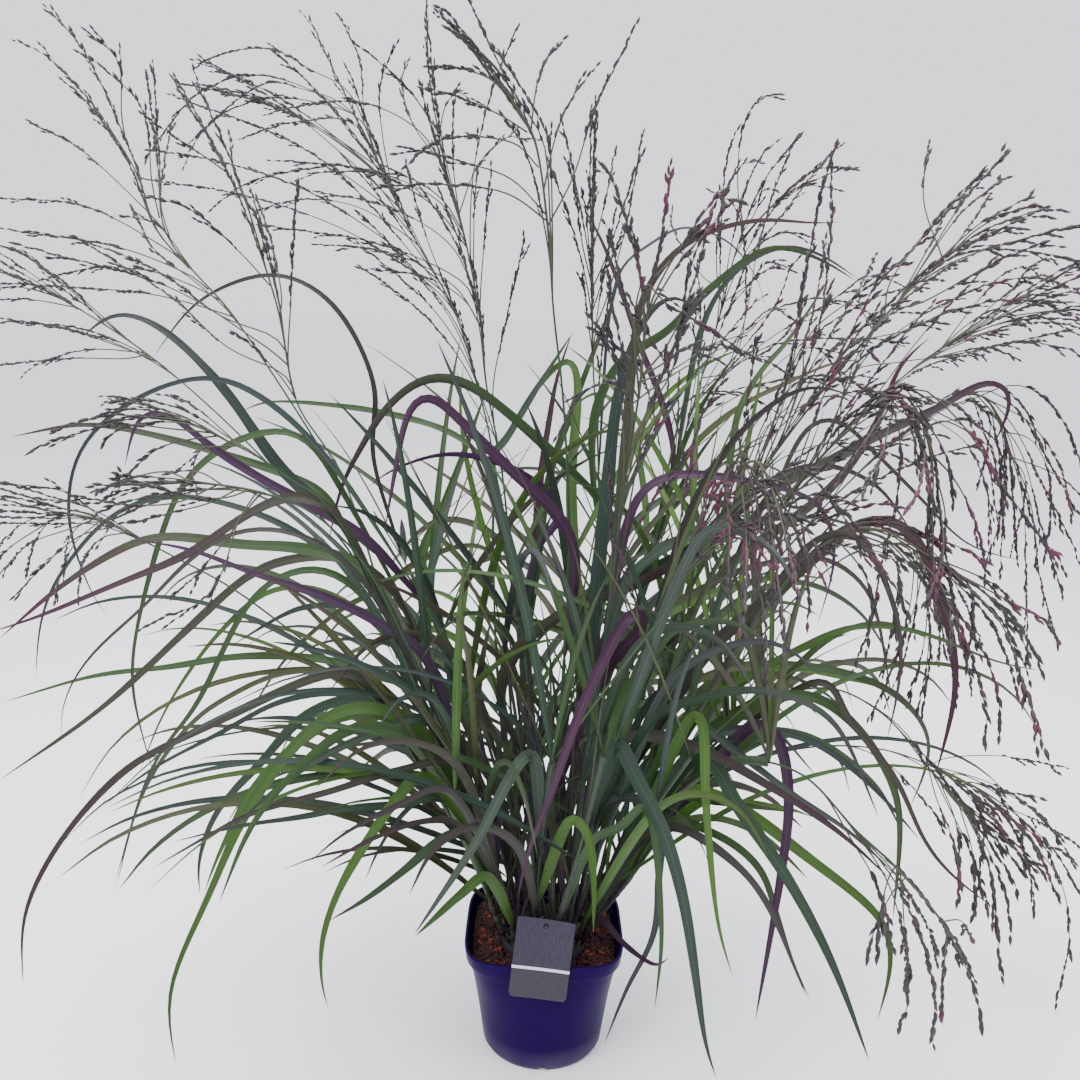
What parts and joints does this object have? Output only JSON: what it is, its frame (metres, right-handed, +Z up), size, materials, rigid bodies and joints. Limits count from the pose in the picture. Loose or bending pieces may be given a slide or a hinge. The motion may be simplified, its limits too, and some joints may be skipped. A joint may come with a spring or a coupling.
{
  "type": "potted switchgrass",
  "caption": "Tall clump of upright switchgrass with arching blue-green leaves and airy purple flower heads, growing in a round nursery pot with a label card.",
  "frame": {"origin": "centre of the pot's underside", "axes": "+Z up along the pot's axis, -Y towards the side the picture was taken from, where the label card hangs, +X to that viewer's right"},
  "size_m": [1.4909, 1.0199, 1.2237],
  "materials": {
    "pot_plastic": "semi-gloss dark indigo moulding",
    "bark_and_peat": "rough composted bark and peat, red-brown",
    "old_stubble": "dry, fibrous stem bases",
    "label_card": "printed thin plastic card, grey-violet",
    "black_tie": "thin black tie",
    "blue_green_blade": "living grass leaf and stem, satin, blue-green with purple tips",
    "purple_panicle": "dry spikelets on thin branches, dark purple to rose"
  },
  "bodies": {
    "root": {"nursery_pot": "pot_plastic", "potting_soil": "bark_and_peat", "crown": "old_stubble", "plant_label": "label_card", "label_tie": "black_tie", "culm_01": "blue_green_blade", "culm_02": "blue_green_blade", "culm_03": "blue_green_blade", "culm_04": "blue_green_blade", "culm_05": "blue_green_blade", "culm_06": "blue_green_blade", "culm_07": "blue_green_blade", "culm_08": "blue_green_blade", "culm_09": "blue_green_blade", "culm_10": "blue_green_blade", "culm_11": "blue_green_blade", "culm_12": "blue_green_blade", "culm_13": "blue_green_blade", "culm_14": "blue_green_blade", "culm_15": "blue_green_blade", "culm_16": "blue_green_blade", "culm_17": "blue_green_blade", "culm_18": "blue_green_blade", "culm_19": "blue_green_blade", "culm_20": "blue_green_blade", "culm_21": "blue_green_blade", "culm_22": "blue_green_blade", "shoot_01": "blue_green_blade", "shoot_02": "blue_green_blade", "shoot_03": "blue_green_blade", "shoot_04": "blue_green_blade", "shoot_05": "blue_green_blade", "shoot_06": "blue_green_blade", "shoot_07": "blue_green_blade", "shoot_08": "blue_green_blade", "shoot_09": "blue_green_blade", "panicle_01": "purple_panicle", "panicle_02": "purple_panicle", "panicle_03": "purple_panicle", "panicle_04": "purple_panicle", "panicle_05": "purple_panicle", "panicle_06": "purple_panicle", "panicle_07": "purple_panicle", "panicle_08": "purple_panicle", "panicle_09": "purple_panicle", "panicle_10": "purple_panicle", "panicle_11": "purple_panicle", "panicle_12": "purple_panicle", "panicle_13": "purple_panicle", "panicle_14": "purple_panicle", "panicle_15": "purple_panicle", "panicle_16": "purple_panicle", "panicle_17": "purple_panicle", "panicle_18": "purple_panicle", "panicle_19": "purple_panicle", "panicle_20": "purple_panicle", "panicle_21": "purple_panicle", "panicle_22": "purple_panicle"}
  },
  "joints": []
}
